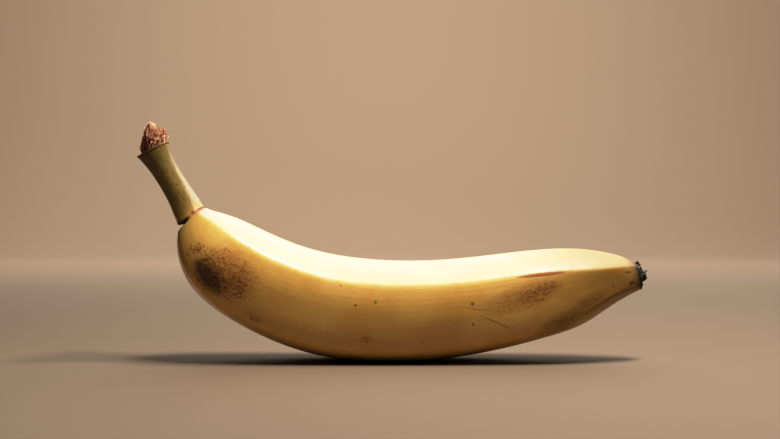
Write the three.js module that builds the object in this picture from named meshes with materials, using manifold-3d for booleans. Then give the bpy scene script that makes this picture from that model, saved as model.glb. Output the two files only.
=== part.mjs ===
// One picked banana, lying on the outer side of its bend.
//
// Millimetres, +Z up. The fruit bends in the XZ plane: the stalk end is towards -X, the blossom end
// towards +X, and the origin is the middle of the flat spot on which the fruit rests. It grew as one
// piece, so it is one solid: the peel with its stalk, the torn crown tissue left on the stalk's end and
// the dried remains of the flower at the other end.

import * as THREE from "three";
import { mergeVertices } from "three/addons/utils/BufferGeometryUtils.js";
import Module from "manifold-3d";

const wasm = await Module();
wasm.setup();

// Ribs of the peel, from the crown rim of the stalk to the rim round the dried flower. Each gives the
// point on the inner (hollow) side of the bend and the point on the outer side, as [x, z], the width
// across the bend, how far the ridges stand out as a share of the radius, and how many degrees they
// turn there.
const PEEL_RIBS = [
  { inner: [-81.4, 80.6], outer: [-92.2, 74.8], width: 11.0, crest: 0.14, turn: -26 },
  { inner: [-80.2, 75.6], outer: [-88.1, 70.3], width: 9.6, crest: 0.14, turn: -24 },
  { inner: [-76.4, 68.9], outer: [-84.2, 64.2], width: 9.0, crest: 0.13, turn: -16 },
  { inner: [-72.3, 62.6], outer: [-80.6, 57.6], width: 9.4, crest: 0.13, turn: -8 },
  { inner: [-69.4, 58.6], outer: [-79.0, 52.8], width: 10.4, crest: 0.12, turn: 0 },
  { inner: [-68.3, 56.2], outer: [-77.0, 49.4], width: 12.0, crest: 0.1, turn: 0 },
  { inner: [-64.4, 55.1], outer: [-78.2, 43.6], width: 17.5, crest: 0.11, turn: -2 },
  { inner: [-59.0, 53.6], outer: [-76.9, 35.9], width: 24.0, crest: 0.13, turn: -3 },
  { inner: [-53.0, 51.3], outer: [-73.5, 27.8], width: 29.0, crest: 0.14, turn: -2 },
  { inner: [-45.0, 47.3], outer: [-65.5, 19.4], width: 32.4, crest: 0.145, turn: -1 },
  { inner: [-33.7, 42.4], outer: [-50.4, 10.2], width: 34.0, crest: 0.145, turn: -1 },
  { inner: [-19.4, 38.4], outer: [-29.6, 2.0], width: 34.8, crest: 0.145, turn: 0 },
  { inner: [-3.0, 36.7], outer: [-6.8, -1.4], width: 35.0, crest: 0.145, turn: 0 },
  { inner: [14.0, 36.4], outer: [17.4, -0.2], width: 34.6, crest: 0.145, turn: 0 },
  { inner: [31.4, 37.9], outer: [40.0, 3.5], width: 33.4, crest: 0.145, turn: 1 },
  { inner: [48.0, 40.2], outer: [58.9, 8.5], width: 31.2, crest: 0.145, turn: 2 },
  { inner: [60.8, 41.4], outer: [71.4, 12.5], width: 27.6, crest: 0.145, turn: 5 },
  { inner: [71.4, 41.4], outer: [79.8, 18.5], width: 22.6, crest: 0.14, turn: 12 },
  { inner: [80.6, 40.0], outer: [86.7, 22.9], width: 16.8, crest: 0.13, turn: 13 },
  { inner: [87.6, 38.2], outer: [91.2, 25.2], width: 12.4, crest: 0.11, turn: 4 },
  { inner: [91.4, 36.0], outer: [93.6, 26.4], width: 9.2, crest: 0.08, turn: -6 },
];

// Where the five ridges run, in degrees round the section from its inner side towards -Y, and what share
// of a rib's turn each of them follows.
const RIDGES_DEG = [55, 131, 219, 289, 346];
const RIDGE_TURN_SHARES = [1, -0.6, 0, 0.5, 1];
const RIDGE_SOFTNESS = 0.07;
const STEPS_PER_FACE = 8;
const RINGS_PER_RIB = 4;

// The fold where the stalk meets the fruit: its rib, its depth, and how far it reaches along the ribs.
const NECK_RIB = 5;
const FOLD_DEPTH = 0.7;
const FOLD_REACH = 0.35;

const FLOOR_DEPTH = 20;
const FLOOR_SIZE = 400;

// Torn crown tissue on the stalk's end, as ribs like the peel's. The last is sunk in the stalk.
const TEAR_RIBS = [
  { inner: [-82.4, 85.0], outer: [-88.9, 87.2], width: 6.6 },
  { inner: [-82.1, 84.0], outer: [-90.0, 84.8], width: 7.8 },
  { inner: [-81.9, 82.6], outer: [-91.3, 81.2], width: 8.8 },
  { inner: [-81.8, 80.8], outer: [-91.8, 76.8], width: 9.6 },
  { inner: [-81.0, 76.7], outer: [-88.9, 72.2], width: 7.4 },
];
const TEAR_SIDES = 22;
const TEAR_ROUGHNESS = 0.2;
const TEAR_JAG = 2.2;
const FIBRES = 20;
const FIBRE_RADIUS = 0.45;
const FIBRE_LENGTH = 6;
const FIBRE_ROOT = 0.76;
const FIBRE_SIDES = 4;
const FIBRE_ROOT_RIBS = { from: 0.1, over: 0.5 };
const FIBRE_LEAN = { least: 0.15, most: 0.45 };
const FIBRE_SLANT = 0.05;

// Dried flower remains: a rough plate on the blossom end, a knob on it, and crumbs round its edge.
const FLOWER_CENTRE = new THREE.Vector3(92.4, 0, 31.3);
const FLOWER_AXIS = new THREE.Vector3(0.976, 0, 0.217);
const PLATE_SIDES = 12;
const PLATE_RADIUS = 4.0;
const PLATE_NOTCH = 0.88;
const PLATE_THICKNESS = 1.6;
const KNOB_RADIUS = 2.0;
const KNOB_OFFSET = new THREE.Vector3(1.4, 0.2, -0.6);
const CRUMBS = 9;
const CRUMB_RADIUS = 0.85;
const CRUMB_RING_RADIUS = { least: 2.96, most: 3.7 };
const CRUMB_HEIGHT = { least: 0.5, most: 1.0 };
const CRUMB_SPREAD = 0.6;
const LUMP_ROUGHNESS = 0.3;

const WELD_DISTANCE = 1e-4;
const YELLOW = 0xd9a441;

// A repeatable random number from 0 to 1.
let seed = 7;
function random() {
  seed = (seed * 16807) % 2147483647;
  return seed / 2147483647;
}

// A uniform cubic B-spline of a list of numbers. It starts and ends on the first and last of them.
function spline(values, u) {
  const last = values.length - 1;
  const at = (i) => {
    if (i < 0) return 2 * values[0] - values[1];
    if (i > last) return 2 * values[last] - values[last - 1];
    return values[i];
  };
  const i = Math.min(Math.floor(u), last - 1);
  const t = u - i;
  const weights = [
    (1 - t) ** 3,
    3 * t ** 3 - 6 * t ** 2 + 4,
    -3 * t ** 3 + 3 * t ** 2 + 3 * t + 1,
    t ** 3,
  ];
  return weights.reduce((sum, weight, k) => sum + (weight * at(i - 1 + k)) / 6, 0);
}

// The rib at a place u along a list of ribs, as its middle, its half span and its half width.
function ribAt(ribs, u) {
  const read = (pick) => spline(ribs.map(pick), u);
  const inner = new THREE.Vector3(read((r) => r.inner[0]), 0, read((r) => r.inner[1]));
  const outer = new THREE.Vector3(read((r) => r.outer[0]), 0, read((r) => r.outer[1]));
  return {
    middle: inner.clone().add(outer).multiplyScalar(0.5),
    up: inner.clone().sub(outer).multiplyScalar(0.5),
    front: new THREE.Vector3(0, -read((r) => r.width) / 2, 0),
    crest: read((r) => r.crest ?? 0),
    turn: read((r) => r.turn ?? 0),
  };
}

// The angle of step j round the section, with a step on every ridge.
function stepAngle(j, turn) {
  const ridges = RIDGES_DEG.map((ridge, i) => ridge + turn * RIDGE_TURN_SHARES[i]);
  ridges.push(ridges[0] + 360);
  const face = Math.floor(j / STEPS_PER_FACE);
  const share = (j % STEPS_PER_FACE) / STEPS_PER_FACE;
  return { angle: THREE.MathUtils.degToRad(ridges[face] + (ridges[face + 1] - ridges[face]) * share), share };
}

// The section's radius a share of the way across a face: 1 in its middle, and most on its ridges.
function sectionRadius(share, crest) {
  const fromRidge = 1 - Math.abs(2 * share - 1);
  const softened = Math.hypot(fromRidge, RIDGE_SOFTNESS) + 1 - Math.hypot(1, RIDGE_SOFTNESS);
  return 1 + crest * (1 - softened) ** 2;
}

// The section as points [towards the inner side, towards the front], filling a box from -1 to 1.
function sectionPoints(crest, turn) {
  const sides = RIDGES_DEG.length * STEPS_PER_FACE;
  const points = Array.from({ length: sides }, (_, j) => {
    const { angle, share } = stepAngle(j, turn);
    const radius = sectionRadius(share, crest);
    return [radius * Math.cos(angle), radius * Math.sin(angle)];
  });
  const fit = [0, 1].map((axis) => {
    const values = points.map((point) => point[axis]);
    return { low: Math.min(...values), high: Math.max(...values) };
  });
  return points.map((point) =>
    point.map((v, axis) => (2 * v - fit[axis].low - fit[axis].high) / (fit[axis].high - fit[axis].low)),
  );
}

// One closed mesh out of a geometry whose faces have vertices of their own.
function weld(geometry) {
  geometry.deleteAttribute("normal");
  geometry.deleteAttribute("uv");
  return mergeVertices(geometry, WELD_DISTANCE);
}

// A closed cylinder with each vertex moved to place(share along, step round, share of the radius).
function bentCylinder(sides, rings, place) {
  const geometry = new THREE.CylinderGeometry(1, 1, 1, sides, rings);
  const position = geometry.attributes.position;
  const vertex = new THREE.Vector3();
  for (let i = 0; i < position.count; i++) {
    vertex.fromBufferAttribute(position, i);
    const turn = Math.atan2(vertex.x, vertex.z) / (2 * Math.PI) + 1;
    const step = Math.round(turn * sides) % sides;
    place(vertex, vertex.y + 0.5, step, Math.hypot(vertex.x, vertex.z));
    position.setXYZ(i, vertex.x, vertex.y, vertex.z);
  }
  return weld(geometry);
}

function toSolid(geometry) {
  const mesh = new wasm.Mesh({
    numProp: 3,
    vertProperties: new Float32Array(geometry.attributes.position.array),
    triVerts: new Uint32Array(geometry.index.array),
  });
  return new wasm.Manifold(mesh);
}

function toGeometry(solid) {
  const { vertProperties, triVerts } = solid.getMesh();
  const geometry = new THREE.BufferGeometry();
  geometry.setAttribute("position", new THREE.BufferAttribute(vertProperties, 3));
  geometry.setIndex(new THREE.BufferAttribute(triVerts, 1));
  geometry.computeVertexNormals();
  return geometry;
}

// The skin of the fruit and its stalk.
function makePeel() {
  const last = PEEL_RIBS.length - 1;
  const sides = RIDGES_DEG.length * STEPS_PER_FACE;
  return bentCylinder(sides, last * RINGS_PER_RIB, (vertex, along, step, reach) => {
    const u = along * last;
    const rib = ribAt(PEEL_RIBS, u);
    const [towardsInner, towardsFront] = sectionPoints(rib.crest, rib.turn)[step];
    const fold = FOLD_DEPTH * Math.exp(-(((u - NECK_RIB) / FOLD_REACH) ** 2));
    const shrink = reach * (1 - fold / rib.up.length());
    vertex
      .copy(rib.middle)
      .addScaledVector(rib.up, towardsInner * shrink)
      .addScaledVector(rib.front, towardsFront * shrink);
  });
}

// The ragged plug of crown tissue that tore off with the stalk.
function makeTear() {
  const last = TEAR_RIBS.length - 1;
  const flutes = Array.from({ length: TEAR_SIDES }, () => 1 - TEAR_ROUGHNESS * random());
  const jags = Array.from({ length: TEAR_SIDES }, () => TEAR_JAG * random());
  return bentCylinder(TEAR_SIDES, last, (vertex, along, step, reach) => {
    const rib = ribAt(TEAR_RIBS, last * along);
    const angle = (2 * Math.PI * step) / TEAR_SIDES;
    const radius = reach * flutes[step];
    vertex
      .copy(rib.middle)
      .addScaledVector(rib.up, radius * Math.cos(angle))
      .addScaledVector(rib.front, radius * Math.sin(angle));
    if (along === 0) vertex.z += reach > 0 ? jags[step] : -TEAR_JAG / 2;
  });
}

// Stiff strands that stand out of the tear, each a thin spike rooted deep in it.
function makeFibres() {
  const last = TEAR_RIBS.length - 1;
  return Array.from({ length: FIBRES }, (_, i) => {
    const geometry = new THREE.ConeGeometry(FIBRE_RADIUS, FIBRE_LENGTH, FIBRE_SIDES);
    const rib = ribAt(TEAR_RIBS, last * (FIBRE_ROOT_RIBS.from + FIBRE_ROOT_RIBS.over * random()));
    const angle = (2 * Math.PI * (i + random())) / FIBRES;
    const lean = FIBRE_LEAN.least + (FIBRE_LEAN.most - FIBRE_LEAN.least) * random();
    const outwards = rib.up.clone().multiplyScalar(Math.cos(angle));
    outwards.addScaledVector(rib.front, Math.sin(angle));
    const direction = new THREE.Vector3(FIBRE_SLANT, 0, 1);
    direction.addScaledVector(outwards.clone().normalize(), lean);
    geometry.applyQuaternion(
      new THREE.Quaternion().setFromUnitVectors(new THREE.Vector3(0, 1, 0), direction.normalize()),
    );
    const root = rib.middle.clone().addScaledVector(outwards, FIBRE_ROOT);
    return weld(geometry.translate(...root.toArray()));
  });
}

// A small rough lump: an icosahedron whose corners are drawn in by chance.
function makeLump(radius, detail, centre) {
  const lump = weld(new THREE.IcosahedronGeometry(radius, detail));
  const position = lump.attributes.position;
  const vertex = new THREE.Vector3();
  for (let i = 0; i < position.count; i++) {
    vertex.fromBufferAttribute(position, i).multiplyScalar(1 - LUMP_ROUGHNESS * random());
    position.setXYZ(i, vertex.x, vertex.y, vertex.z);
  }
  return lump.translate(...centre.toArray());
}

// The dried flower: plate, knob and crumbs.
function makeFlowerRemains() {
  const turn = new THREE.Quaternion().setFromUnitVectors(new THREE.Vector3(0, 1, 0), FLOWER_AXIS);
  const place = (geometry) => geometry.applyQuaternion(turn).translate(...FLOWER_CENTRE.toArray());
  const plate = bentCylinder(PLATE_SIDES, 1, (vertex, along, step, reach) => {
    const angle = (2 * Math.PI * step) / PLATE_SIDES;
    const radius = reach * PLATE_RADIUS * (step % 2 ? 1 : PLATE_NOTCH);
    vertex.set(radius * Math.sin(angle), (along - 0.5) * PLATE_THICKNESS, radius * Math.cos(angle));
  });
  const knob = makeLump(KNOB_RADIUS, 1, FLOWER_CENTRE.clone().add(KNOB_OFFSET));
  const crumbs = Array.from({ length: CRUMBS }, (_, i) => {
    const angle = (2 * Math.PI * (i + CRUMB_SPREAD * random())) / CRUMBS;
    const out = CRUMB_RING_RADIUS.least + (CRUMB_RING_RADIUS.most - CRUMB_RING_RADIUS.least) * random();
    const height = CRUMB_HEIGHT.least + (CRUMB_HEIGHT.most - CRUMB_HEIGHT.least) * random();
    const centre = new THREE.Vector3(out * Math.sin(angle), height, out * Math.cos(angle));
    return place(makeLump(CRUMB_RADIUS, 0, centre));
  });
  return [place(plate), knob, ...crumbs];
}

// Everything below the surface that the fruit rests on, to leave the small flat spot.
function makeFloor() {
  return weld(new THREE.BoxGeometry(FLOOR_SIZE, FLOOR_SIZE, FLOOR_DEPTH)).translate(0, 0, -FLOOR_DEPTH / 2);
}

const grown = [makePeel(), makeTear(), ...makeFibres(), ...makeFlowerRemains()];
const whole = grown.map(toSolid).reduce((sum, piece) => sum.add(piece));
const rested = whole.subtract(toSolid(makeFloor()));

const banana = new THREE.Mesh(
  toGeometry(rested),
  new THREE.MeshStandardMaterial({ color: YELLOW, roughness: 0.5, metalness: 0 }),
);
banana.name = "banana";

const part = new THREE.Group();
part.add(banana);

export default part;
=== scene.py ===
import math
import random

import bmesh
import bpy
from mathutils import Matrix, Vector, noise


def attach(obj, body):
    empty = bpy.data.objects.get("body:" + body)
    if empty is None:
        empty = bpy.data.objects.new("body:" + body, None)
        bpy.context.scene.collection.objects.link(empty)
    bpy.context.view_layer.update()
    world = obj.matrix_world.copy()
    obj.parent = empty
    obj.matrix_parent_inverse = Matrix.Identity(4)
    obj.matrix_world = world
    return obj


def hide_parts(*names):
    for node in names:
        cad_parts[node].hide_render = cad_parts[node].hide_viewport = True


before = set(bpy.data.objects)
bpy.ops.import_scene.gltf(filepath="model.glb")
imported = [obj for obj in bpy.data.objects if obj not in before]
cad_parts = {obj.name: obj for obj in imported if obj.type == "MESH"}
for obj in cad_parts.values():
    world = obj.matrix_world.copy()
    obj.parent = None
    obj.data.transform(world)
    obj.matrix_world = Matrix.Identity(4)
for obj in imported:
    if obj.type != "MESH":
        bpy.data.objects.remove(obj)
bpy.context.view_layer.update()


# The peel and its stalk: one waxy skin, thick and tough, that grew in one piece. It bends upwards as it
# grows, and five ridges run along it, where the hand's neighbours and the flower's parts pressed on it.
# It is a tube laid over ribs, with folds pressed in at the neck, where the heavy fruit bent its stalk.
MM = 0.001

# Each rib: the x and z of its inner and of its outer point and its width, in mm, how far the ridges stand
# out, as a share of the radius, and how far they turn there, in degrees.
PEEL_RIBS = (
    (-81.4, 80.6, -92.2, 74.8, 11.0, 0.14, -26),
    (-80.2, 75.6, -88.1, 70.3, 9.6, 0.14, -24),
    (-76.4, 68.9, -84.2, 64.2, 9.0, 0.13, -16),
    (-72.3, 62.6, -80.6, 57.6, 9.4, 0.13, -8),
    (-69.4, 58.6, -79.0, 52.8, 10.4, 0.12, 0),
    (-68.3, 56.2, -77.0, 49.4, 12.0, 0.10, 0),
    (-64.4, 55.1, -78.2, 43.6, 17.5, 0.11, -2),
    (-59.0, 53.6, -76.9, 35.9, 24.0, 0.13, -3),
    (-53.0, 51.3, -73.5, 27.8, 29.0, 0.14, -2),
    (-45.0, 47.3, -65.5, 19.4, 32.4, 0.145, -1),
    (-33.7, 42.4, -50.4, 10.2, 34.0, 0.145, -1),
    (-19.4, 38.4, -29.6, 2.0, 34.8, 0.145, 0),
    (-3.0, 36.7, -6.8, -1.4, 35.0, 0.145, 0),
    (14.0, 36.4, 17.4, -0.2, 34.6, 0.145, 0),
    (31.4, 37.9, 40.0, 3.5, 33.4, 0.145, 1),
    (48.0, 40.2, 58.9, 8.5, 31.2, 0.145, 2),
    (60.8, 41.4, 71.4, 12.5, 27.6, 0.145, 5),
    (71.4, 41.4, 79.8, 18.5, 22.6, 0.14, 12),
    (80.6, 40.0, 86.7, 22.9, 16.8, 0.13, 13),
    (87.6, 38.2, 91.2, 25.2, 12.4, 0.11, 4),
    (91.4, 36.0, 93.6, 26.4, 9.2, 0.08, -6),
)
SIDES_PER_FACE = 32
RINGS_PER_RIB = 18

# Where the ridges run, in degrees round the section from its inner side to its front, and the share of a
# rib's turn that each follows. They are rubbed over a small share of the faces beside them.
RIDGES = (55, 131, 219, 289, 346)
RIDGE_TURN_SHARES = (1, -0.6, 0, 0.5, 1)
RIDGE_SOFTNESS = 0.07
RIDGE_WEAR = 0.12

# Each fold at the neck: its angle round the stalk and how far it spreads from there, in degrees, the rib
# it lies at and how far it reaches along, in ribs, and how deep it is in mm. A bulge has a depth below 0.
FOLDS = (
    (172, 66, 5.08, 0.17, 2.6),
    (150, 46, 5.16, 0.14, 0.8),
    (8, 40, 4.95, 0.16, 0.45),
    (20, 34, 5.30, 0.18, -0.35),
)

# The skin rises and sinks a little, in waves that are long along the fruit and short round it. All in mm,
# as are the straight rod on which the skin's patterns are drawn, and the edges of the peel's two ends.
UNEVEN = 0.3
UNEVEN_LENGTH = 34
UNEVEN_GIRTH = 13
ROD_RADIUS = 18
RIM_ROUNDING = 0.35
LIP_WIDTH = 0.4
LIP_DEPTH = 0.5


def spline(rows, place):
    """The values at a place along a uniform cubic B-spline through rows of numbers."""
    last = len(rows) - 1
    first = min(int(place), last - 1)
    t = place - first
    before = [2 * a - b for a, b in zip(rows[0], rows[1])]
    after = [2 * a - b for a, b in zip(rows[-1], rows[-2])]
    four_rows = [before, *rows, after][first:first + 4]
    weights = ((1 - t) ** 3, 3 * t**3 - 6 * t**2 + 4, -3 * t**3 + 3 * t**2 + 3 * t + 1, t**3)
    return [sum(w * value for w, value in zip(weights, column)) / 6 for column in zip(*four_rows)]


def rib_at(ribs, place):
    """A rib's middle, its half span, its half width towards the front, and what else its row holds."""
    inner_x, inner_z, outer_x, outer_z, width, *rest = spline(ribs, place)
    inner = Vector((inner_x, 0, inner_z)) * MM
    outer = Vector((outer_x, 0, outer_z)) * MM
    return (inner + outer) / 2, (inner - outer) / 2, Vector((0, -width / 2 * MM, 0)), rest


def ridge_section(crest, turn):
    """The five-sided section. For each step round it: how far it is towards the inner side and towards the
    front, as shares of the half span and the half width, its angle, and how far it is from a ridge."""
    points = []
    ridges = [ridge + turn * share for ridge, share in zip(RIDGES, RIDGE_TURN_SHARES)]
    for start, end in zip(ridges, ridges[1:] + [ridges[0] + 360]):
        for step in range(SIDES_PER_FACE):
            share = step / SIDES_PER_FACE
            angle = math.radians(start + (end - start) * share)
            from_ridge = 1 - abs(2 * share - 1)
            softened = math.hypot(from_ridge, RIDGE_SOFTNESS) + 1 - math.hypot(1, RIDGE_SOFTNESS)
            radius = 1 + crest * (1 - softened) ** 2
            points.append((radius * math.cos(angle), radius * math.sin(angle), angle, from_ridge))
    low = [min(point[axis] for point in points) for axis in (0, 1)]
    high = [max(point[axis] for point in points) for axis in (0, 1)]
    return [
        (
            (2 * inward - low[0] - high[0]) / (high[0] - low[0]),
            (2 * forward - low[1] - high[1]) / (high[1] - low[1]),
            angle,
            from_ridge,
        )
        for inward, forward, angle, from_ridge in points
    ]


def closed_tube(sides, rings):
    """A closed cylinder cut into rings."""
    tube = bmesh.new()
    bmesh.ops.create_cone(tube, cap_ends=True, segments=sides, radius1=1, radius2=1, depth=1)
    lengthwise = [edge for edge in tube.edges if edge.verts[0].co.z * edge.verts[1].co.z < 0]
    bmesh.ops.subdivide_edges(tube, edges=lengthwise, cuts=rings - 1, use_grid_fill=True)
    return tube


def ring_and_side(vert, sides, rings):
    """The ring and the side of a closed tube that one of its points is on."""
    around = math.atan2(vert.co.x, -vert.co.y) / (2 * math.pi)
    return round((vert.co.z + 0.5) * rings), round(around * sides) % sides


def grow(name, shape, skin):
    """Makes a finished shape one piece of the fruit."""
    bmesh.ops.recalc_face_normals(shape, faces=shape.faces)
    for face in shape.faces:
        face.smooth = True
    mesh = bpy.data.meshes.new(name)
    shape.to_mesh(mesh)
    shape.free()
    mesh.materials.append(skin)
    piece = bpy.data.objects.new(name, mesh)
    bpy.context.scene.collection.objects.link(piece)
    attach(piece, "root")
    return piece


peel_sides = SIDES_PER_FACE * len(RIDGES)
peel_rings = RINGS_PER_RIB * (len(PEEL_RIBS) - 1)
peel_shape = closed_tube(peel_sides, peel_rings)
straight_layer = peel_shape.verts.layers.float_vector.new("straight")
wear_layer = peel_shape.verts.layers.float.new("ridge_wear")
ring_ribs = [rib_at(PEEL_RIBS, ring / RINGS_PER_RIB) for ring in range(peel_rings + 1)]
ring_sections = [ridge_section(*rib[3]) for rib in ring_ribs]
length_along = [0]
for near, far in zip(ring_ribs, ring_ribs[1:]):
    length_along.append(length_along[-1] + (far[0] - near[0]).length / MM)
for vert in peel_shape.verts:
    ring, side = ring_and_side(vert, peel_sides, peel_rings)
    middle, up, front, _ = ring_ribs[ring]
    inward, forward, angle, from_ridge = ring_sections[ring][side]
    outwards = up * inward + front * forward
    fold = 0
    for fold_angle, spread, fold_rib, reach, depth in FOLDS:
        aside = (math.degrees(angle) - fold_angle + 180) % 360 - 180
        beyond = ring / RINGS_PER_RIB - fold_rib
        fold += depth * math.exp(-((aside / spread) ** 4) - (beyond / reach) ** 2)
    straight = Vector((length_along[ring], ROD_RADIUS * math.cos(angle), ROD_RADIUS * math.sin(angle)))
    on_wave = (straight.x / UNEVEN_LENGTH, straight.y / UNEVEN_GIRTH, straight.z / UNEVEN_GIRTH)
    girth = min(1, up.length / (ROD_RADIUS * MM))
    raised = UNEVEN * girth * noise.noise(Vector(on_wave)) - fold
    vert.co = middle + outwards + outwards.normalized() * raised * MM
    vert.co.z = max(vert.co.z, 0)
    vert[straight_layer] = straight * MM
    vert[wear_layer] = max(0, 1 - from_ridge / RIDGE_WEAR)
ends = [face for face in peel_shape.faces if len(face.verts) == peel_sides]
bmesh.ops.bevel(
    peel_shape,
    geom=[edge for face in ends for edge in face.edges],
    offset=RIM_ROUNDING * MM,
    offset_type="OFFSET",
    segments=3,
    profile=0.5,
    affect="EDGES",
    material=-1,
)
# The skin stands up as a thin lip round the torn tissue in the crown's cut.
ends = [face for face in peel_shape.faces if len(face.verts) == peel_sides]
crown_cut = max(ends, key=lambda face: face.calc_center_median().z)
bmesh.ops.inset_region(peel_shape, faces=[crown_cut], thickness=LIP_WIDTH * MM, depth=-LIP_DEPTH * MM)


# The peel's skin: ripe banana peel, yellow cells under a thin natural wax. The eye gets a broad soft sheen
# over satin yellow, faint streaks of the long fibres, a greener stalk, ridges that are rubbed brown, and
# the bruises, dots and scratches of knocks, where the wax has gone and the skin is dull.
def linear(code):
    """An sRGB hex colour as linear red, green, blue and alpha."""
    parts = [int(code[i:i + 2], 16) / 255 for i in (1, 3, 5)]
    return [c / 12.92 if c <= 0.04045 else ((c + 0.055) / 1.055) ** 2.4 for c in parts] + [1]


def add(tree, kind, settings, inputs, output=0):
    """Adds a node with its settings, and its inputs as values or links. Gives one of its outputs."""
    node = tree.nodes.new(kind)
    for name, value in settings.items():
        setattr(node, name, value)
    for name, value in inputs.items():
        if isinstance(value, bpy.types.NodeSocket):
            tree.links.new(value, node.inputs[name])
        else:
            node.inputs[name].default_value = value
    return node.outputs[output]


def new_skin(name):
    """A new material, its node tree, which holds only a shader and an output, and the shader."""
    skin = bpy.data.materials.new(name)
    skin.use_nodes = True
    return skin, skin.node_tree, skin.node_tree.nodes["Principled BSDF"]


# Settings of the nodes below, and the sockets of a node that mixes colours: how much of the upper colour
# shows, the lower colour, the upper colour, and the mixed colour that it gives.
TIMES = {"operation": "MULTIPLY"}
TIMES_PLUS = {"operation": "MULTIPLY_ADD"}
PLUS = {"operation": "ADD"}
LESS = {"operation": "SUBTRACT"}
MOST = {"operation": "MAXIMUM"}
SMOOTH = {"interpolation_type": "SMOOTHSTEP"}
COLOUR = {"data_type": "RGBA"}
SHARE, LOWER, UPPER, MIXED = 0, 6, 7, 2


def between(start, end, least=0, most=1):
    """Limits of a value that goes from least to most while what it follows goes from start to end."""
    return {"From Min": start, "From Max": end, "To Min": least, "To Max": most}


def stained(tree, colour, stains):
    """The colour under some stains. Each has its colour, what it follows, and its limits."""
    for code, followed, *limits in stains:
        share = add(tree, "ShaderNodeMapRange", SMOOTH, {"Value": followed, **between(*limits)})
        stain = {SHARE: share, LOWER: colour, UPPER: linear(code)}
        colour = add(tree, "ShaderNodeMix", COLOUR, stain, MIXED)
    return colour


def from_mark(tree, here, centre, radii, turn):
    """How far a point of the skin is from a mark's centre, with 1 at the mark's edge."""
    mark = {
        "Location": [v * MM for v in centre],
        "Rotation": (0, math.radians(turn), 0),
        "Scale": [v * MM for v in radii],
    }
    inside = add(tree, "ShaderNodeMapping", {"vector_type": "TEXTURE"}, {"Vector": here, **mark})
    return add(tree, "ShaderNodeVectorMath", {"operation": "LENGTH"}, {0: inside}, "Value")


peel_skin, tree, shader = new_skin("ripe_banana_peel_waxy")
here = add(tree, "ShaderNodeTexCoord", {}, {}, "Object")
on_rod = add(tree, "ShaderNodeAttribute", {"attribute_name": "straight"}, {}, "Vector")
rubbed = add(tree, "ShaderNodeAttribute", {"attribute_name": "ridge_wear"}, {}, "Fac")

# Each pattern: how long its grains are along the fruit against their width, their width in mm, its detail
# and roughness, and how far it is swirled. Bundles of fibres lie 1.6 mm apart, and a bruise breaks up into
# specks of 1.2 mm. Real freckles are 0.2 mm wide, and are drawn 0.6 mm wide, because finer ones don't show.
PATTERNS = {
    "fibres": (25, 1.6, 3, 0.6, 0),
    "patches": (1, 16, 2, 0.6, 0),
    "speckle": (1.4, 1.25, 3, 0.7, 1.8),
    "mottle": (1, 2.6, 3, 0.65, 0),
    "freckles": (1.8, 0.6, 3, 0.7, 0),
    "ticks": (0.4, 0.9, 2, 0.5, 0),
}
pattern = {}
for name, (longer, width, detail, roughness, swirl) in PATTERNS.items():
    drawn = add(tree, "ShaderNodeMapping", {}, {"Vector": on_rod, "Scale": (1 / longer, 1, 1)})
    grains = {"Vector": drawn, "Scale": 1 / (width * MM), "Detail": detail, "Roughness": roughness}
    pattern[name] = add(tree, "ShaderNodeTexNoise", {}, {**grains, "Distortion": swirl})
fibres, patches, speckle, mottle, freckles, ticks = pattern.values()

# How far a point is along the fruit, and the same with a wander in mm that makes stains end raggedly.
STAIN_WANDER = 6
peel_length = length_along[-1] * MM
along = add(tree, "ShaderNodeSeparateXYZ", {}, {0: on_rod})
wander = add(tree, "ShaderNodeMath", LESS, {0: mottle, 1: 0.5})
wander = add(tree, "ShaderNodeMath", TIMES, {0: wander, 1: STAIN_WANDER * MM})
ragged = add(tree, "ShaderNodeMath", PLUS, {0: along, 1: wander})

# Ripe yellow, with deeper patches, pale streaks of fibres and brown freckles, then the greener stalk and its
# dark end at the crown.
colour = stained(tree, linear("#e3b968"), (
    ("#d9aa58", patches, 0.35, 0.7),
    ("#e8c274", fibres, 0.5, 0.75, 0, 0.18),
    ("#a87436", freckles, 0.48, 0.75, 0, 0.4),
    ("#85703a", ragged, 20 * MM, 44 * MM, 1, 0),
    ("#4e4424", ragged, 1 * MM, 18 * MM, 0.5, 0),
))

# The young skin of the stalk is mottled with dark green. The tip is browner than the rest, and that brown
# is also painted shade, darkening the fruit's right end.
young = add(tree, "ShaderNodeMapRange", SMOOTH, {"Value": ragged, **between(18 * MM, 36 * MM, 0.75, 0)})
blots = add(tree, "ShaderNodeMapRange", SMOOTH, {"Value": mottle, **between(0.4, 0.65)})
young = add(tree, "ShaderNodeMath", TIMES, {0: young, 1: blots})
colour = add(
    tree, "ShaderNodeMix", COLOUR, {SHARE: young, LOWER: colour, UPPER: linear("#54491f")}, MIXED
)
# Painted shade, in part: the tip's brown also darkens the right end of the fruit.
tip_start, tip_end = peel_length - 56 * MM, peel_length - 8 * MM
colour = stained(tree, colour, [("#80602c", ragged, tip_start, tip_end, 0, 0.9)])

# The ridges are rubbed brown in places.
worn = add(tree, "ShaderNodeMapRange", SMOOTH, {"Value": mottle, **between(0.45, 0.7, 0, 0.25)})
worn = add(tree, "ShaderNodeMath", TIMES, {0: rubbed, 1: worn})
colour = add(
    tree, "ShaderNodeMix", COLOUR, {SHARE: worn, LOWER: colour, UPPER: linear("#8a5526")}, MIXED
)
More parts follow.
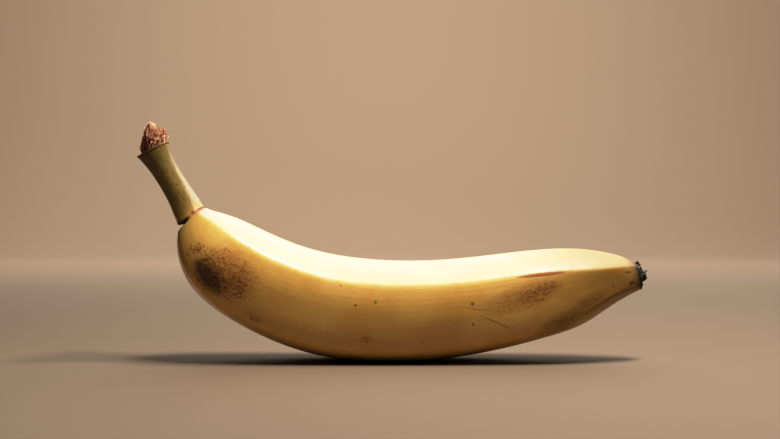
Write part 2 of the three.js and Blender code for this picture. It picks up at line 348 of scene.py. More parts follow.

# Each bruise, where crushed cells have turned brown: its centre and its radii along its own axes, in mm,
# its turn about Y in degrees, how dark it is, how broken up it is from 0 to 1, and its colour. Its cover
# rises from its edge to its core. It is fully dark from a small cover on, and its specks crowd as it rises.
# The two rows at x 73 and 61, low on the right end of the front, are painted shade, not bruises.
BRUISES_AND_PAINTED_SHADE = (
    ((-58.5, -16, 32.5), (18.0, 10, 13.5), 28, 0.62, 1.0, "#74381c"),
    ((-58.0, -16, 33.0), (15.5, 10, 11.0), 28, 0.4, 0.2, "#9a5a30"),
    ((-53.5, -16, 28.0), (9.0, 8, 5.5), 35, 0.5, 0.9, "#6e3818"),
    ((-64.0, -15, 31.8), (11.0, 9, 6.2), 44, 0.6, 0.3, "#54301c"),
    ((-64.4, -15, 32.0), (8.5, 9, 3.4), 48, 0.8, 0.25, "#2e1c14"),
    ((-66.4, -14, 37.3), (5.0, 5, 0.9), -12, 0.7, 0.6, "#4c2a17"),
    ((-69.2, -12, 41.2), (5.5, 7, 3.2), -26, 0.85, 1.0, "#7a381b"),
    ((-47.5, -15, 17.0), (5.0, 7, 2.0), 30, 0.4, 0.9, "#5c3418"),
    ((-8.0, -15, 9.6), (4.2, 6, 2.0), -5, 0.5, 0.9, "#4a3018"),
    ((48.0, -15, 24.2), (20.0, 8, 5.8), -18, 0.5, 0.5, "#8a4a26"),
    ((53.5, -15, 26.0), (11.0, 7, 4.4), -20, 0.42, 0.75, "#6a321b"),
    ((56.0, -15, 27.2), (5.5, 7, 2.6), -22, 0.4, 0.6, "#5c2a18"),
    ((55.0, -15, 32.3), (12.0, 5, 0.95), -6, 0.85, 0.15, "#743018"),
    # Painted shade: the next two dark patches stand for the shade low on the front's right end.
    ((73.0, -13, 23.0), (11.0, 7, 3.0), -27, 0.5, 0.7, "#5c3c1c"),
    ((61.0, -11, 14.5), (13.0, 8, 4.6), -26, 0.5, 0.6, "#4e3c1a"),
    ((87.4, -6.5, 32.8), (2.3, 4, 0.8), -4, 0.85, 0.6, "#3a1f10"),
    ((88.6, -5.0, 28.8), (1.6, 5, 1.0), -35, 0.8, 0.3, "#2a1a10"),
    ((-32.0, 15, 24.0), (9.0, 7, 5.0), 15, 0.6, 0.9, "#7e3f1d"),
    ((36.0, 15, 20.0), (8.0, 7, 4.0), -20, 0.6, 0.9, "#7a3f1e"),
    ((66.0, 8, 38.0), (5.0, 5, 3.0), 10, 0.5, 0.9, "#8a4b22"),
)
BRUISE_CORE = 0.1
DARK_COVER = 0.35
SPECK_CROWDING = 0.15
SPECK_EDGE = (0.57, 0.66)

marks_and_painted_shade = 0.0
for centre, radii, turn, strength, broken, code in BRUISES_AND_PAINTED_SHADE:
    away = from_mark(tree, here, centre, radii, turn)
    cover = add(tree, "ShaderNodeMapRange", SMOOTH, {"Value": away, **between(1, BRUISE_CORE)})
    specks = add(tree, "ShaderNodeMath", TIMES_PLUS, {0: cover, 1: SPECK_CROWDING, 2: speckle})
    solid = between(*SPECK_EDGE, 1 - broken, 1)
    solid = add(tree, "ShaderNodeMapRange", SMOOTH, {"Value": specks, **solid})
    share = add(tree, "ShaderNodeMapRange", SMOOTH, {"Value": cover, **between(0, DARK_COVER)})
    share = add(tree, "ShaderNodeMath", TIMES, {0: share, 1: solid})
    share = add(tree, "ShaderNodeMath", TIMES, {0: share, 1: strength})
    bruise_and_shade = {SHARE: share, LOWER: colour, UPPER: linear(code)}
    colour = add(tree, "ShaderNodeMix", COLOUR, bruise_and_shade, MIXED)
    marks_and_painted_shade = add(tree, "ShaderNodeMath", MOST, {0: share, 1: marks_and_painted_shade})

# Each dot, a dark pinprick with a ragged edge: its centre and its radius in mm.
DOTS = (
    (-49.6, -14.5, 42.3, 0.42), (-16.8, -16.8, 28.6, 0.3), (-11.5, -17.4, 21.6, 0.33),
    (-4.5, -17.3, 22.6, 0.42), (29.8, -16.8, 22.1, 0.55), (30.3, -16.5, 14.7, 0.4),
    (34.5, -16.8, 26.0, 0.25), (-77.1, -4.2, 64.9, 0.32), (-78.4, -3.3, 70.8, 0.28),
    (81.3, -8.9, 27.9, 0.4), (82.7, -8.1, 26.3, 0.3), (88.0, -5.0, 36.0, 0.3),
    (21.0, 15.5, 26.0, 0.6), (-44.0, 15.0, 30.0, 0.5), (-12.0, 16.5, 14.0, 0.4),
    (52.0, 14.0, 15.0, 0.5), (8.0, 3.0, 37.0, 0.5), (60.0, 10.0, 31.0, 0.4),
)
FAR_OFF = 1e3

nearest = FAR_OFF
for *centre, radius in DOTS:
    centre = [v * MM for v in centre]
    away = add(tree, "ShaderNodeVectorMath", {"operation": "DISTANCE"}, {0: here, 1: centre}, "Value")
    away = add(tree, "ShaderNodeMath", {"operation": "DIVIDE"}, {0: away, 1: radius * MM})
    nearest = add(tree, "ShaderNodeMath", {"operation": "MINIMUM"}, {0: away, 1: nearest})
frayed = add(tree, "ShaderNodeMapRange", SMOOTH, {"Value": speckle, **between(0.3, 0.7, -0.3, 0.5)})
nearest = add(tree, "ShaderNodeMath", PLUS, {0: nearest, 1: frayed})
colour = stained(tree, colour, [("#642c14", nearest, 1.9, 0.6, 0, 0.8)])

# Each scratch: its centre and its radii in mm, its turn about Y in degrees, and how dark it is.
SCRATCHES = (
    ((38.6, -15.6, 15.4), (9.6, 4, 0.26), 23.5, 0.75),
    ((31.0, -16.6, 20.2), (5.5, 4, 0.3), 8, 0.45),
    ((12.0, 15, 14.0), (8.0, 3, 0.3), 12, 0.6),
)
for centre, radii, turn, strength in SCRATCHES:
    away = from_mark(tree, here, centre, radii, turn)
    colour = stained(tree, colour, [("#43260f", away, 1, 0.3, 0, strength)])

# The scuffs, a patch of pale ticks where the skin was grazed: its centre, its radii and its turn.
SCUFFED = ((-20.5, -16.5, 12.6), (9.0, 7, 4.4), 8)
away = from_mark(tree, here, *SCUFFED)
grazed = add(tree, "ShaderNodeMapRange", SMOOTH, {"Value": away, **between(1, 0.4)})
scuffs = add(tree, "ShaderNodeMapRange", SMOOTH, {"Value": ticks, **between(0.6, 0.68)})
scuffs = add(tree, "ShaderNodeMath", TIMES, {0: grazed, 1: scuffs})
colour = add(
    tree, "ShaderNodeMix", COLOUR, {SHARE: scuffs, LOWER: colour, UPPER: linear("#f0d6a4")}, MIXED
)

# Each scar in the fold at the neck, where the bent skin died, dark and dry: its centre and its radii in mm,
# its turn about Y in degrees, how dark it is, and its colour. The first two, near black, are painted
# shadow in the crease's gap under the stalk, not scars.
FOLD_SCARS_AND_CREASE_SHADOW = (
    # Painted shadow: the next two black marks darken the crease's gap.
    ((-75.3, -5.0, 50.2), (4.0, 7, 0.8), -38, 1.0, "#060504"),
    ((-77.2, -2.0, 48.9), (3.1, 9, 2.1), -40, 1.0, "#060504"),
    ((-69.4, -4.0, 55.4), (2.6, 7, 0.6), -40, 1.0, "#5a2612"),
    ((-71.2, -5.0, 54.5), (0.8, 5, 0.8), 0, 1.0, "#24120a"),
    ((-72.8, -6.0, 52.9), (3.6, 5, 0.45), -38, 0.35, "#6b4420"),
    ((-70.4, -4.5, 55.4), (4.6, 6, 2.4), -40, 0.3, "#a0602c"),
)
frayed = add(tree, "ShaderNodeMapRange", SMOOTH, {"Value": speckle, **between(0.3, 0.7, -0.25, 0.25)})
for centre, radii, turn, strength, code in FOLD_SCARS_AND_CREASE_SHADOW:
    away = from_mark(tree, here, centre, radii, turn)
    away = add(tree, "ShaderNodeMath", PLUS, {0: away, 1: frayed})
    share = add(tree, "ShaderNodeMapRange", SMOOTH, {"Value": away, **between(1.1, 0.75, 0, strength)})
    scar_and_crease_shadow = {SHARE: share, LOWER: colour, UPPER: linear(code)}
    colour = add(tree, "ShaderNodeMix", COLOUR, scar_and_crease_shadow, MIXED)
    marks_and_painted_shade = add(tree, "ShaderNodeMath", MOST, {0: share, 1: marks_and_painted_shade})

# The skin next to the flower has dried black, and so has the crown's rim, to a lighter brown.
colour = stained(tree, colour, (
    ("#3b2a16", ragged, peel_length - 4.5 * MM, peel_length - 1.2 * MM, 0, 0.75),
    ("#0d0906", along, peel_length - 1.6 * MM, peel_length - 0.6 * MM),
    ("#5c4226", along, 0.5 * MM, 0.1 * MM, 0, 0.9),
))
tree.links.new(colour, shader.inputs["Base Color"])

# The wax is the shader's coat, and is thinner where the skin is dull. Marks and patches of painted shade
# dull the skin wholly, and a rubbed ridge by half. Each row is something else that dulls it: where that
# starts and ends, and how much it dulls. They are the streaks of fibres, the crown's rim, the dry skin of
# the tip, and the black end. Plant wax has an IOR of about 1.45. The freckles and fibres stand up a
# little, and the marks and patches of painted shade are sunken.
DULLED = (
    (fibres, 0.4, 0.7, 0.1),
    (along, 1.2 * MM, 0.5 * MM, 0.5),
    (ragged, peel_length - 64 * MM, peel_length - 10 * MM, 0.38),
    (along, peel_length - 4.0 * MM, peel_length - 1.0 * MM, 0.4),
)
PEEL_IOR = 1.45
WAX_ROUGHNESS = 0.27
WAX = (0.9, 0.1)
WAX_GONE_AT = 0.5
DULLED_BY_RUBBING = 0.5
SATIN = (0.36, 0.46)
ROUGHER_WHERE_DULL = 0.25
FRECKLE_RELIEF = 0.5
MARK_RELIEF = -0.8
PEEL_RELIEF = 0.1
PEEL_RELIEF_SHARE = 0.4

dulled = add(tree, "ShaderNodeMath", TIMES_PLUS, {0: rubbed, 1: DULLED_BY_RUBBING, 2: marks_and_painted_shade})
for followed, start, end, dullness in DULLED:
    dry = between(start, end, 0, dullness)
    dry = add(tree, "ShaderNodeMapRange", SMOOTH, {"Value": followed, **dry})
    dulled = add(tree, "ShaderNodeMath", PLUS, {0: dulled, 1: dry})
wax = add(tree, "ShaderNodeMapRange", SMOOTH, {"Value": dulled, **between(0, WAX_GONE_AT, *WAX)})
satin = add(tree, "ShaderNodeMapRange", SMOOTH, {"Value": mottle, **between(0.3, 0.7, *SATIN)})
satin = add(tree, "ShaderNodeMath", TIMES_PLUS, {0: dulled, 1: ROUGHER_WHERE_DULL, 2: satin})
height = add(tree, "ShaderNodeMath", TIMES_PLUS, {0: freckles, 1: FRECKLE_RELIEF, 2: fibres})
height = add(tree, "ShaderNodeMath", TIMES_PLUS, {0: marks_and_painted_shade, 1: MARK_RELIEF, 2: height})
relief = {"Height": height, "Strength": PEEL_RELIEF_SHARE, "Distance": PEEL_RELIEF * MM}
tree.links.new(wax, shader.inputs["Coat Weight"])
tree.links.new(satin, shader.inputs["Roughness"])
tree.links.new(add(tree, "ShaderNodeBump", {}, relief), shader.inputs["Normal"])
shader.inputs["IOR"].default_value = PEEL_IOR
shader.inputs["Coat Roughness"].default_value = WAX_ROUGHNESS

peel = grow("peel", peel_shape, peel_skin)
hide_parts("banana")


# The torn end: crown tissue that ripped off the hand with the stalk, a stub of stringy fibres that has
# dried brown. It grew out of the stalk, so its foot sits deep in it, and its strands fray at the top.
TEAR_RIBS = (
    (-82.4, 85.0, -88.9, 87.2, 6.6),
    (-82.1, 84.0, -90.0, 84.8, 7.8),
    (-81.9, 82.6, -91.3, 81.2, 8.8),
    (-81.8, 80.8, -91.8, 76.8, 9.6),
    (-81.0, 76.7, -88.9, 72.2, 7.4),
)
TEAR_SIDES = 120
TEAR_RINGS_PER_RIB = 12

# How far the torn top stands up, in mm, in rows of one number, in even steps from its outer side to its
# inner side, and over how many ribs that fades out.
TEAR_TOP = ((0.0,), (1.0,), (0.9,), (-0.6,), (-1.3,), (0.6,), (0.3,))
TEAR_TOP_REACH = 2


def on_tear(place, angle, reach):
    """A point of the torn end, at a place along it, an angle round it and a share of its radius."""
    middle, up, front, _ = rib_at(TEAR_RIBS, place)
    (top,) = spline(TEAR_TOP, (1 + math.cos(angle)) / 2 * (len(TEAR_TOP) - 1))
    raised = Vector((0, 0, top * MM * max(0, 1 - place / TEAR_TOP_REACH)))
    return middle + (up * math.cos(angle) + front * math.sin(angle)) * reach + raised


# The stub is fluted by coarse and fine strings: how deep the flutes are, as a share of its radius, how
# close they stand, how strong the fine ones are, and how far they twist and drift in a rib. The torn top
# is rough, in mm. The tone holds painted light and shade: lighter on the flutes' crests, darker in their
# hollows, and darker on the inner side.
FLUTE_DEPTH = 0.14
COARSE_FLUTES = 5
FINE_FLUTES = 14
FINE_FLUTE_SHARE = 0.6
FLUTE_TWIST = 0.16
FLUTE_DRIFT = 0.2
TOP_ROUGHNESS = 0.5
TOP_JAGS = 9
MIDDLE_TONE = 0.32
CREST_LIGHT_AND_HOLLOW_SHADE = 0.4
INNER_SIDE_SHADE = 0.12

tear_rings = TEAR_RINGS_PER_RIB * (len(TEAR_RIBS) - 1)
torn_shape = closed_tube(TEAR_SIDES, tear_rings)
tone_and_shade_layer = torn_shape.verts.layers.float.new("tone")
for vert in torn_shape.verts:
    ring, side = ring_and_side(vert, TEAR_SIDES, tear_rings)
    place = ring / TEAR_RINGS_PER_RIB
    angle = 2 * math.pi * side / TEAR_SIDES
    twisted = angle + FLUTE_TWIST * place
    around = Vector((math.cos(twisted), math.sin(twisted), FLUTE_DRIFT * place))
    flute = noise.noise(around * COARSE_FLUTES) + FINE_FLUTE_SHARE * noise.noise(around * FINE_FLUTES)
    vert.co = on_tear(place, angle, 1 - FLUTE_DEPTH * (0.5 - flute))
    vert.co.z += TOP_ROUGHNESS * MM * max(0, 1 - place) * noise.noise(around * TOP_JAGS)
    # Painted light and shade: lighter on the flute crests, darker in the hollows and on the inner side.
    vert[tone_and_shade_layer] = MIDDLE_TONE + CREST_LIGHT_AND_HOLLOW_SHADE * flute - INNER_SIDE_SHADE * math.cos(angle)

# Each shred of skin, broader and flatter than a fibre: the rib its foot is at, how many ribs it climbs, its
# angle round the stub in degrees, its lean, how far it curls out, its half width in mm, and its tone.
SHREDS = (
    (3.7, 2.0, 28, 0.05, 0.20, 0.85, 0.80),
    (3.6, 1.7, 352, 0.05, 0.22, 0.80, 0.90),
    (3.6, 1.3, 178, 0.00, 0.24, 0.35, 1.00),
    (2.7, 1.3, 187, 0.10, 0.22, 0.30, 1.00),
    (1.9, 1.4, 170, -0.10, 0.20, 0.30, 0.95),
    (3.2, 2.6, 165, -0.10, 0.04, 0.70, 0.70),
    (3.5, 2.2, 200, 0.10, 0.08, 0.80, 0.55),
    (2.6, 2.3, 140, -0.15, 0.02, 0.60, 0.45),
    (2.4, 2.3, 95, -0.10, 0.02, 0.70, 0.50),
    (3.6, 1.2, 120, -0.60, 0.08, 0.35, 0.90),
    (3.4, 1.3, 100, -0.70, 0.08, 0.30, 0.95),
    (2.7, 2.5, 60, -0.05, 0.02, 0.60, 0.15),
    (2.9, 2.5, 255, 0.05, 0.04, 0.80, 0.60),
    (2.6, 2.4, 300, -0.05, 0.04, 0.80, 0.40),
)
SHRED_HALF_THICKNESS = 0.3

# The fibres: how many, their radius in mm, the ribs their feet are at, how many ribs they climb, and how
# far past the stub's top they may. They splay from its middle, and curl out and lean a little by chance.
FIBRES = 260
FIBRE_RADIUS = (0.08, 0.17)
FIBRE_FOOT = (0.6, 3.7)
FIBRE_CLIMB = (1.0, 3.0)
FIBRE_OVERSHOOT = (-0.25, 0.3)
FIBRE_SPLAY = 0.12
FIBRE_LEAN = 0.05
FIBRE_CURL = (0, 0.12)
FIBRE_TONE = (0.1, 0.8)

# Every strand lies in the stub's surface, at a share of its radius, and narrows to its tip. It runs from
# each of its points towards the point a little further on.
STRAND_SEAT = 0.93
STRAND_TIP = 0.3
STRAND_SIDES = 4
STRAND_RINGS = 5
A_LITTLE_ON = 0.01

# All that is left to chance is drawn in turn from one seed, so the fruit is the same each time.
SEED = 11


def strand_in(shape, sides, rings, radius, length):
    """Adds a tapered strand along Z to a shape, cut into rings, and gives its points."""
    earlier = len(shape.verts)
    made = bmesh.ops.create_cone(
        shape,
        cap_ends=True,
        segments=sides,
        radius1=radius * MM,
        radius2=radius * STRAND_TIP * MM,
        depth=length * MM,
    )["verts"]
    edges = {edge for vert in made for edge in vert.link_edges}
    lengthwise = [edge for edge in edges if edge.verts[0].co.z * edge.verts[1].co.z < 0]
    bmesh.ops.subdivide_edges(shape, edges=lengthwise, cuts=rings - 1, use_grid_fill=True)
    shape.verts.ensure_lookup_table()
    return shape.verts[earlier:]


def lay_strand(foot, climb, angle, lean, curl, half_width, half_thickness, tone):
    """Lays a strand on the torn end, from its foot towards the top, leaning round and curling out."""
    for vert in strand_in(torn_shape, STRAND_SIDES, STRAND_RINGS, half_width, 1):
        share = vert.co.z / MM + 0.5
        middle, ahead = [
            on_tear(foot - climb * s, angle + lean * s, STRAND_SEAT + curl * s**2)
            for s in (share, share + A_LITTLE_ON)
        ]
        outwards = on_tear(foot, angle + lean * share, 2) - on_tear(foot, angle + lean * share, 1)
        outwards.normalize()
        sideways = (ahead - middle).cross(outwards).normalized()
        vert.co = middle + sideways * vert.co.x + outwards * vert.co.y * half_thickness / half_width
        vert[tone_and_shade_layer] = tone


draw = random.Random(SEED)
for foot, climb, degrees, lean, curl, half_width, tone in SHREDS:
    lay_strand(foot, climb, math.radians(degrees), lean, curl, half_width, SHRED_HALF_THICKNESS, tone)
for _ in range(FIBRES):
    foot = draw.uniform(*FIBRE_FOOT)
    climb = min(draw.uniform(*FIBRE_CLIMB), foot + draw.uniform(*FIBRE_OVERSHOOT))
    angle = draw.uniform(0, 2 * math.pi)
    lean = draw.gauss(-FIBRE_SPLAY * foot * math.sin(angle), FIBRE_LEAN)
    radius = draw.uniform(*FIBRE_RADIUS)
    curl = draw.uniform(*FIBRE_CURL)
    tone = draw.uniform(*FIBRE_TONE)
    lay_strand(foot, climb, angle, lean, curl, radius, radius, tone)

# Torn crown tissue that has dried in the air: matt and stringy, rosy tan on its strings, and the colour of
# straw at its frayed top. The dark brown in its hollows and on its inner side is painted shade, and its
# paler crests are painted light. Widths of its strings and blotches are in mm.
STRING_WIDTH = 0.4
STRING_STRETCH = 0.15
STRING_TONE = 0.5
BLOTCH_WIDTH = 3
FRAYED_WANDER = 3
TORN_ROUGHNESS = 0.85
TORN_RELIEF = 0.1
TORN_RELIEF_SHARE = 0.5

torn_skin, tree, shader = new_skin("torn_banana_crown_dried")
here = add(tree, "ShaderNodeTexCoord", {}, {}, "Object")
tone = add(tree, "ShaderNodeAttribute", {"attribute_name": "tone"}, {}, "Fac")
drawn = add(tree, "ShaderNodeMapping", {}, {"Vector": here, "Scale": (1, 1, STRING_STRETCH)})
grains = {"Vector": drawn, "Scale": 1 / (STRING_WIDTH * MM), "Detail": 3, "Roughness": 0.7}
strings = add(tree, "ShaderNodeTexNoise", {}, grains)
grains = {"Vector": here, "Scale": 1 / (BLOTCH_WIDTH * MM), "Detail": 3}
blotches = add(tree, "ShaderNodeTexNoise", {}, grains)
height = add(tree, "ShaderNodeSeparateXYZ", {}, {0: here}, 2)
height = add(tree, "ShaderNodeMath", TIMES_PLUS, {0: blotches, 1: FRAYED_WANDER * MM, 2: height})
tone = add(tree, "ShaderNodeMath", TIMES_PLUS, {0: strings, 1: STRING_TONE, 2: tone})
# The tone's low end is painted shade in the hollows, and its high end is partly painted light on the crests.
colour = stained(tree, linear("#3a2216"), (
    ("#86543f", tone, 0.3, 0.65),
    ("#ad7a5c", blotches, 0.4, 0.65, 0, 0.35),
    ("#c79c72", tone, 0.75, 1.05),
    ("#ecd3a2", tone, 1.1, 1.35, 0, 0.9),
    ("#e8cb98", height, 87.6 * MM, 89.4 * MM, 0, 0.8),
))
relief = {"Height": strings, "Strength": TORN_RELIEF_SHARE, "Distance": TORN_RELIEF * MM}
tree.links.new(colour, shader.inputs["Base Color"])
tree.links.new(add(tree, "ShaderNodeBump", {}, relief), shader.inputs["Normal"])
shader.inputs["Roughness"].default_value = TORN_ROUGHNESS
grow("torn_end", torn_shape, torn_skin)


# The dried flower: what is left of the blossom at the fruit's tip, a black crusty disc with a knob where
# the style broke off, crumbs of petal round it, and a few wiry threads. It is rooted in the tip.
FLOWER_CENTRE = Vector((92.4, 0, 31.3))
FLOWER_AXIS = Vector((0.976, 0, 0.217))
DISC_RADIUS = 4.3
DISC_TAPER = 0.86
DISC_THICKNESS = 1.1
DISC_SIDES = 64
DISC_UNEVEN = 0.12
DISC_DENTS = 1.1

flower_shape = bmesh.new()
to_tip = Matrix.Translation(FLOWER_CENTRE * MM) @ FLOWER_AXIS.to_track_quat("Z", "Y").to_matrix().to_4x4()
disc = bmesh.ops.create_cone(
    flower_shape,
    cap_ends=True,
    segments=DISC_SIDES,
    radius1=DISC_RADIUS * MM,
    radius2=DISC_RADIUS * DISC_TAPER * MM,
    depth=DISC_THICKNESS * MM,
)["verts"]
for vert in disc:
    vert.co *= 1 + DISC_UNEVEN * noise.noise(vert.co / MM * DISC_DENTS)
bmesh.ops.transform(flower_shape, matrix=to_tip, verts=disc)

# Each big lump of crust: its place from the disc's middle and its radii, in mm, along the fruit, across it
# and up. The first two are the knob, then come the chain of petal stubs over it, the fleck in front of it,
# and the stubs under and behind it. The crumbs stand in a ring on the disc.
LUMPS = (
    ((1.6, 0.0, -0.2), (1.5, 2.0, 2.2)),
    ((2.2, -0.7, -0.6), (0.9, 0.9, 0.9)),
    ((0.9, -0.4, 2.5), (0.55, 0.7, 0.75)),
    ((0.2, -0.8, 3.9), (0.6, 0.8, 0.7)),
    ((-0.4, -0.9, 4.9), (0.7, 0.7, 0.45)),
    ((2.9, -0.8, 1.7), (0.35, 0.4, 0.35)),
    ((0.9, -1.0, -2.6), (0.5, 0.9, 1.2)),
    ((0.6, 1.8, -1.8), (0.7, 0.8, 0.9)),
    ((0.7, 1.9, 1.6), (0.7, 1.0, 0.9)),
)
LUMP_CUTS = 4
CRUMBS = 30
CRUMB_RADIUS = (0.22, 0.5)
CRUMB_RING = (2.6, 4.3)
CRUMB_HEIGHT = (0.2, 0.6)
CRUMB_CUTS = 3

# A lump's size against its radii, how far it swells and shrinks, how close its coarse and its fine bumps
# stand, how strong the fine ones are, and how far the noise may be shifted to give each lump its own.
LUMP_SIZE = 0.9
LUMP_SWELL = 0.45
COARSE_BUMPS = 1.3
FINE_BUMPS = 4
FINE_BUMP_SHARE = 0.5
BUMP_SHIFT = (-9, 9)


def crust(place, radii, cuts):
    """A lump of crust at a place: a ball whose points are pushed in and out by chance."""
    made = bmesh.ops.create_icosphere(flower_shape, subdivisions=cuts, radius=1)["verts"]
    shift = Vector([draw.uniform(*BUMP_SHIFT) for _ in range(3)])
    for vert in made:
        fine = FINE_BUMP_SHARE * noise.noise(vert.co * FINE_BUMPS + shift)
        lump = noise.noise(vert.co * COARSE_BUMPS + shift) + fine
        swollen = vert.co * (LUMP_SIZE + LUMP_SWELL * lump)
        vert.co = (place + Vector(a * b for a, b in zip(swollen, radii))) * MM
    return made


for place, radii in LUMPS:
    crust(FLOWER_CENTRE + Vector(place), radii, LUMP_CUTS)
for index in range(CRUMBS):
    angle = 2 * math.pi * (index + draw.random()) / CRUMBS
    ring = draw.uniform(*CRUMB_RING)
    place = Vector((ring * math.cos(angle), ring * math.sin(angle), draw.uniform(*CRUMB_HEIGHT)))
    made = crust(place, [draw.uniform(*CRUMB_RADIUS)] * 3, CRUMB_CUTS)
    bmesh.ops.transform(flower_shape, matrix=to_tip, verts=made)

# The threads stand on the disc in a ring, lean outwards and curl as they go. Lengths are in mm, the lean
# is a share of a thread's length, and the curl's turn is in radians.
THREADS = 7
THREAD_RADIUS = 0.12
THREAD_LENGTH = (1.2, 2.4)
THREAD_RING = 2.0
THREAD_LEAN = (0.3, 0.8)
THREAD_CURL = 0.5
THREAD_CURL_TURN = 3
THREAD_SIDES = 5
THREAD_RINGS = 6

for _ in range(THREADS):
    angle = draw.uniform(0, 2 * math.pi)
    length = draw.uniform(*THREAD_LENGTH)
    outwards = Vector((math.cos(angle), math.sin(angle), 0))
    lean = outwards * draw.uniform(*THREAD_LEAN)
    grown = strand_in(flower_shape, THREAD_SIDES, THREAD_RINGS, THREAD_RADIUS, length)
    for vert in grown:
        share = vert.co.z / (length * MM) + 0.5
        turned = THREAD_CURL_TURN * share
        curl = Vector((math.sin(turned), math.cos(turned), 0)) * THREAD_CURL * MM * share
        standing = Vector((vert.co.x, vert.co.y, share * length * MM)) + outwards * THREAD_RING * MM
        vert.co = standing + curl + lean * share**2 * length * MM
    bmesh.ops.transform(flower_shape, matrix=to_tip, verts=grown)

# Dried petal and style: a matt, scabby crust, nearly black, with brown where it has flaked. The scabs'
# width and relief are in mm.
SCAB_WIDTH = 0.9
SCAB_RELIEF = 0.3
SCAB_RELIEF_SHARE = 0.7
CRUST_ROUGHNESS = 0.7

flower_skin, tree, shader = new_skin("dried_flower_crust")
here = add(tree, "ShaderNodeTexCoord", {}, {}, "Object")
grains = {"Vector": here, "Scale": 1 / (SCAB_WIDTH * MM), "Detail": 4, "Roughness": 0.7}
scabs = add(tree, "ShaderNodeTexNoise", {}, grains)
colour = stained(tree, linear("#080604"), [("#2b1a10", scabs, 0.45, 0.7)])
relief = {"Height": scabs, "Strength": SCAB_RELIEF_SHARE, "Distance": SCAB_RELIEF * MM}
tree.links.new(colour, shader.inputs["Base Color"])
tree.links.new(add(tree, "ShaderNodeBump", {}, relief), shader.inputs["Normal"])
shader.inputs["Roughness"].default_value = CRUST_ROUGHNESS
grow("dried_flower", flower_shape, flower_skin)


# The floor: matt paper, pale under the lamps, that lies flat and sweeps up behind into a wall. It gives
# the eye a soft shadow and no reflections. All its sizes are in metres.
FLOOR_FRONT = -1.6
FLOOR_BACK = 1.1
FLOOR_HALF_WIDTH = 2.2
SWEEP_RADIUS = 0.5
SWEEP_STEPS = 24
WALL_HEIGHT = 1.6
PAPER_ROUGHNESS = 0.9

floor_shape = bmesh.new()
front_corner = floor_shape.verts.new((-FLOOR_HALF_WIDTH, FLOOR_FRONT, 0))
back_corner = floor_shape.verts.new((-FLOOR_HALF_WIDTH, FLOOR_BACK, 0))
floor_shape.edges.new((front_corner, back_corner))
bmesh.ops.spin(
    floor_shape,
    geom=[back_corner],
    cent=(0, FLOOR_BACK, SWEEP_RADIUS),
    axis=(1, 0, 0),
    angle=math.radians(90),
    steps=SWEEP_STEPS,
    dvec=(0, 0, 0),
)
top_corner = max(floor_shape.verts, key=lambda vert: vert.co.z)
wall = bmesh.ops.extrude_vert_indiv(floor_shape, verts=[top_corner])["verts"]
bmesh.ops.translate(floor_shape, verts=wall, vec=(0, 0, WALL_HEIGHT))
across = bmesh.ops.extrude_edge_only(floor_shape, edges=floor_shape.edges[:])["geom"]
moved = [part for part in across if isinstance(part, bmesh.types.BMVert)]
bmesh.ops.translate(floor_shape, verts=moved, vec=(2 * FLOOR_HALF_WIDTH, 0, 0))
bmesh.ops.recalc_face_normals(floor_shape, faces=floor_shape.faces)
for face in floor_shape.faces:
    face.smooth = True
floor_mesh = bpy.data.meshes.new("floor")
floor_shape.to_mesh(floor_mesh)
floor_shape.free()
floor_skin, tree, shader = new_skin("matt_paper")
shader.inputs["Base Color"].default_value = linear("#54483c")
shader.inputs["Roughness"].default_value = PAPER_ROUGHNESS
floor_mesh.materials.append(floor_skin)
floor = bpy.data.objects.new("floor", floor_mesh)
bpy.context.scene.collection.objects.link(floor)


# The lamps: a wide soft window above and behind whitens the fruit's top, a small one overhead lights its
# front less and less from the ridge down, and one washes the wall. Each has its width and height, its
# power in watts, its colour, the place it hangs in and the place it faces. Lengths are in metres.
LAMPS = {
    "window": (1.2, 0.9, 12, "#fff8ee", (0.2, 0.6, 0.75), (0, 0, 0.03)),
    "overhead": (0.2, 0.08, 8.5, "#fff0dc", (0.12, -0.05, 0.48), (0, 0, 0.02)),
    "wall_wash": (1.6, 0.3, 70, "#fff4e6", (0, 0.8, 0.9), (0, 1.6, 0.25)),
}
ROOM_LIGHT = 0.02

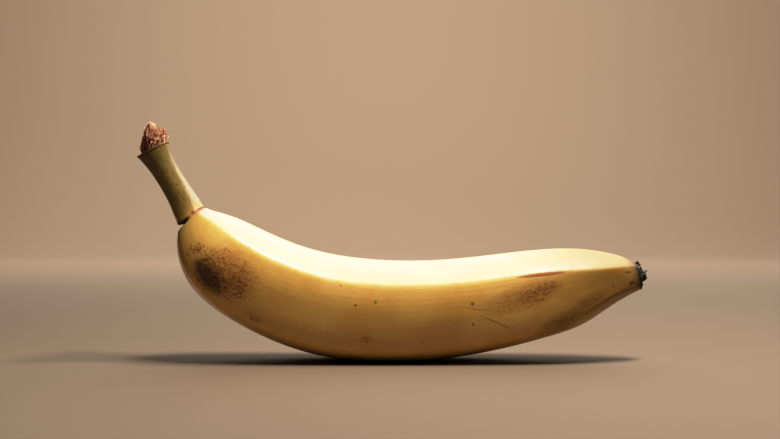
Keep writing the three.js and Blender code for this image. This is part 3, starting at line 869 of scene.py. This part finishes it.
for name, (width, height, power, code, place, target) in LAMPS.items():
    light = bpy.data.lights.new(name, "AREA")
    light.shape = "RECTANGLE"
    light.size = width
    light.size_y = height
    light.energy = power
    light.color = linear(code)[:3]
    stand = bpy.data.objects.new(name, light)
    bpy.context.scene.collection.objects.link(stand)
    stand.location = place
    stand.visible_camera = False
    stand.rotation_euler = (Vector(place) - Vector(target)).to_track_quat("Z", "Y").to_euler()

world = bpy.data.worlds.new("room")
bpy.context.scene.world = world
world.use_nodes = True
room = world.node_tree.nodes["Background"]
room.inputs["Color"].default_value = linear("#f2d2b0")
room.inputs["Strength"].default_value = ROOM_LIGHT


# The camera: level, square to the fruit's front, close and low, with a lens that makes a pixel as many mm
# wide at the fruit as one of the photo's. Lengths without a unit in their name are in metres.
SENSOR_WIDTH_MM = 36
PICTURE_WIDTH_PIXELS = 780
MM_PER_PIXEL = 0.37
CAMERA_DISTANCE = 0.4
CAMERA_ASIDE = 0.0007
CAMERA_HEIGHT = 0.052
NEAREST_SEEN = 0.01

camera = bpy.data.cameras.new("camera")
camera.sensor_width = SENSOR_WIDTH_MM
camera.lens = SENSOR_WIDTH_MM * (CAMERA_DISTANCE / (MM_PER_PIXEL * MM)) / PICTURE_WIDTH_PIXELS
camera.clip_start = NEAREST_SEEN
tripod = bpy.data.objects.new("camera", camera)
tripod.location = (CAMERA_ASIDE, -CAMERA_DISTANCE, CAMERA_HEIGHT)
tripod.rotation_euler = (math.radians(90), 0, 0)
bpy.context.scene.collection.objects.link(tripod)
bpy.context.scene.camera = tripod

# The brightest tones roll off softly, as they do on film. Each pair is a share of the whitest light that
# is still told apart, and the tone that it gets on the curve for all colours.
WHITEST = 2.5
ROLL_OFF = ((0.05, 0.125), (0.1, 0.25), (0.15, 0.375), (0.2, 0.5), (0.28, 0.68), (0.4, 0.82), (0.64, 0.93))
ALL_COLOURS = 3
GAMMA = 0.88

view = bpy.context.scene.view_settings
view.view_transform = "Standard"
view.gamma = GAMMA
view.use_curve_mapping = True
view.curve_mapping.white_level = (WHITEST, WHITEST, WHITEST)
for light_share, film_tone in ROLL_OFF:
    view.curve_mapping.curves[ALL_COLOURS].points.new(light_share, film_tone)
view.curve_mapping.update()
